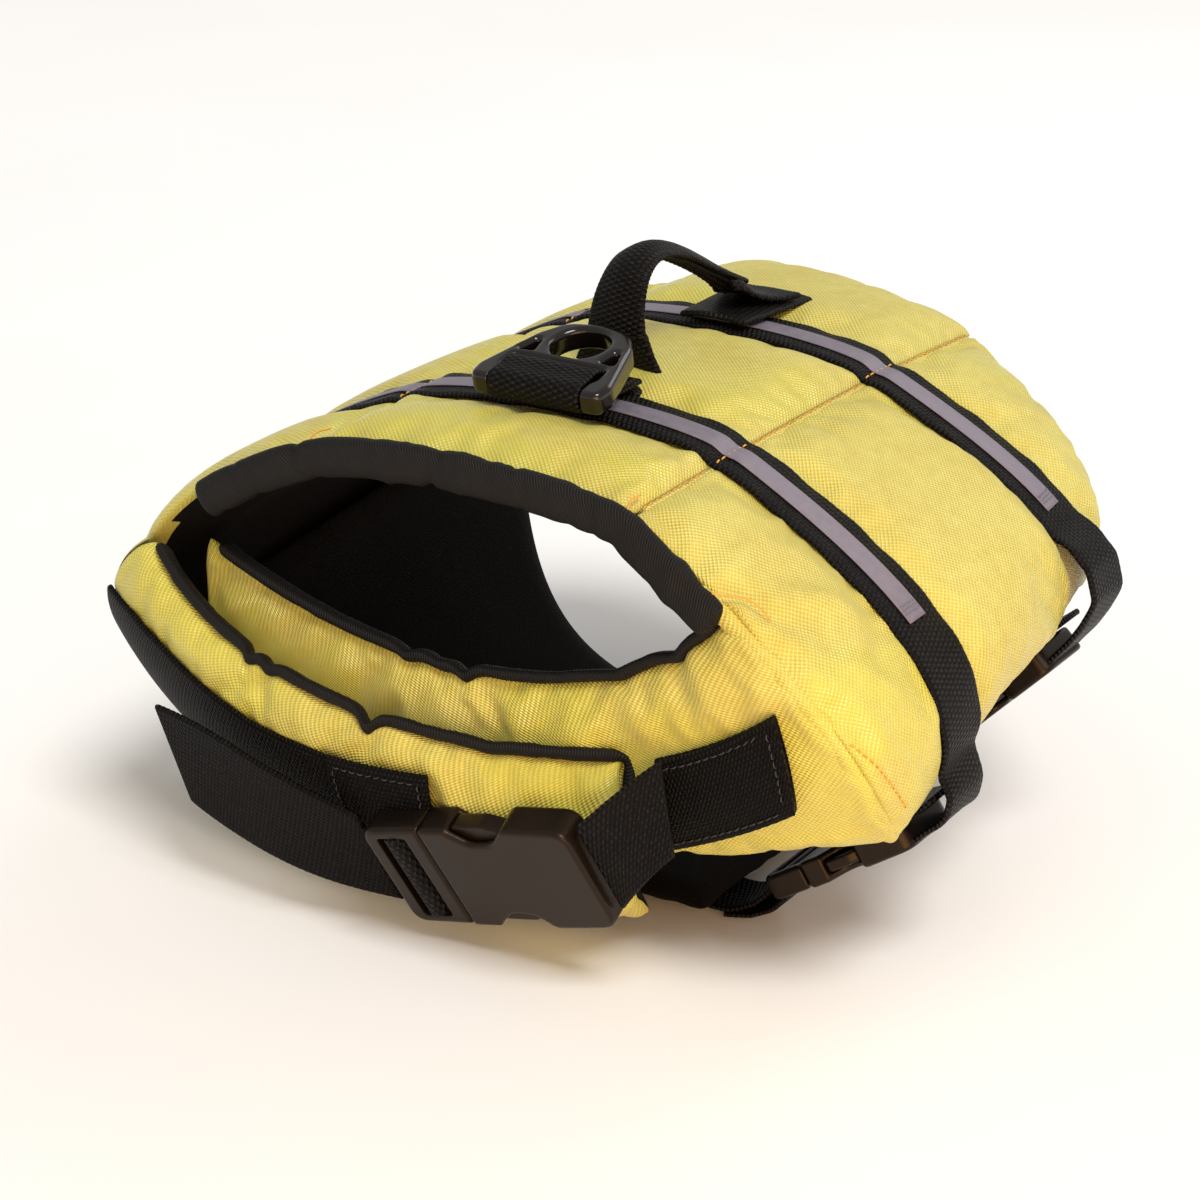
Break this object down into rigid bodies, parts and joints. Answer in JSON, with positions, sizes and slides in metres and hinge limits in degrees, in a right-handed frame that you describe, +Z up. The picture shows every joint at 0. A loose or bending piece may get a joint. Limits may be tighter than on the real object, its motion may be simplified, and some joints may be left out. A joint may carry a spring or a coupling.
{
  "type": "dog flotation vest",
  "caption": "Small foam flotation vest for a dog: padded panels closed by buckled webbing straps, with a grab handle and a leash ring on the back.",
  "frame": {"origin": "centre of the bounding box's bottom face, on the ground that the vest stands on", "axes": "+X towards the flank that carries the belly buckles, +Y from the neck opening to the tail, +Z up"},
  "size_m": [0.2218, 0.2108, 0.1533],
  "materials": {
    "panel_fabric": "woven yellow polyester with a slight sheen",
    "foam": "closed-cell foam",
    "lining": "black woven lining",
    "webbing": "ribbed black webbing",
    "binding": "black grosgrain",
    "reflective_tape": "grey reflective tape",
    "buckle_plastic": "satin moulded acetal",
    "ring_plastic": "gloss moulded nylon"
  },
  "bodies": {
    "vest": {"back_cover": "panel_fabric", "back_foam": "foam", "back_lining": "lining", "right_flank_cover": "panel_fabric", "right_flank_foam": "foam", "right_flank_lining": "lining", "left_flank_cover": "panel_fabric", "left_flank_foam": "foam", "left_flank_lining": "lining", "inner_flap_cover": "panel_fabric", "inner_flap_foam": "foam", "inner_flap_lining": "lining", "outer_flap_cover": "panel_fabric", "outer_flap_foam": "foam", "outer_flap_lining": "lining", "belly_cover": "lining", "belly_foam": "foam", "belly_lining": "lining", "neck_binding": "binding", "inner_flap_binding": "binding", "outer_flap_binding": "binding", "front_body_strap": "webbing", "rear_body_strap": "webbing", "front_tape": "reflective_tape", "rear_tape": "reflective_tape", "front_belly_strap": "webbing", "rear_belly_strap": "webbing", "chest_strap": "webbing", "chest_strap_tail": "webbing", "chest_anchor_strap": "webbing", "chest_anchor_link": "webbing", "handle_front_tab": "webbing", "handle_rear_tab": "webbing", "leash_loop": "webbing", "chest_socket": "buckle_plastic", "chest_plug": "buckle_plastic", "front_belly_socket": "buckle_plastic", "front_belly_plug": "buckle_plastic", "rear_belly_socket": "buckle_plastic", "rear_belly_plug": "buckle_plastic"},
    "leash_ring": {"leash_ring": "ring_plastic"},
    "handle": {"handle": "webbing"},
    "chest_latch_upper": {"chest_latch_upper": "buckle_plastic"},
    "chest_latch_lower": {"chest_latch_lower": "buckle_plastic"},
    "front_belly_latch_a": {"front_belly_latch_a": "buckle_plastic"},
    "front_belly_latch_b": {"front_belly_latch_b": "buckle_plastic"},
    "rear_belly_latch_a": {"rear_belly_latch_a": "buckle_plastic"},
    "rear_belly_latch_b": {"rear_belly_latch_b": "buckle_plastic"}
  },
  "joints": [
    {"name": "leash_ring_tilt", "type": "hinge", "parent": "vest", "child": "leash_ring", "pos_m": [-0.00126, -0.04833, 0.1285], "axis": [1, 0, 0], "range_deg": [0, 110]},
    {"name": "handle_lean", "type": "hinge", "parent": "vest", "child": "handle", "pos_m": [-0.00126, 0.01267, 0.1335], "axis": [0, 1, 0], "range_deg": [-60, 60]},
    {"name": "chest_latch_upper_press", "type": "hinge", "parent": "vest", "child": "chest_latch_upper", "pos_m": [0.00262, -0.09867, 0.03498], "axis": [-0.1018, 0.9135, 0.3938], "range_deg": [0, 8]},
    {"name": "chest_latch_lower_press", "type": "hinge", "parent": "vest", "child": "chest_latch_lower", "pos_m": [0.00806, -0.08899, 0.01393], "axis": [0.1018, -0.9135, -0.3938], "range_deg": [0, 8]},
    {"name": "front_belly_latch_a_press", "type": "hinge", "parent": "vest", "child": "front_belly_latch_a", "pos_m": [0.07345, -0.02793, 0.02076], "axis": [0.5592, 0, -0.829], "range_deg": [0, 8]},
    {"name": "front_belly_latch_b_press", "type": "hinge", "parent": "vest", "child": "front_belly_latch_b", "pos_m": [0.07345, -0.04273, 0.02076], "axis": [-0.5592, 0, 0.829], "range_deg": [0, 8]},
    {"name": "rear_belly_latch_a_press", "type": "hinge", "parent": "vest", "child": "rear_belly_latch_a", "pos_m": [0.07647, 0.04607, 0.03354], "axis": [0.7193, 0, -0.6947], "range_deg": [0, 8]},
    {"name": "rear_belly_latch_b_press", "type": "hinge", "parent": "vest", "child": "rear_belly_latch_b", "pos_m": [0.07647, 0.03127, 0.03354], "axis": [-0.7193, 0, 0.6947], "range_deg": [0, 8]}
  ]
}
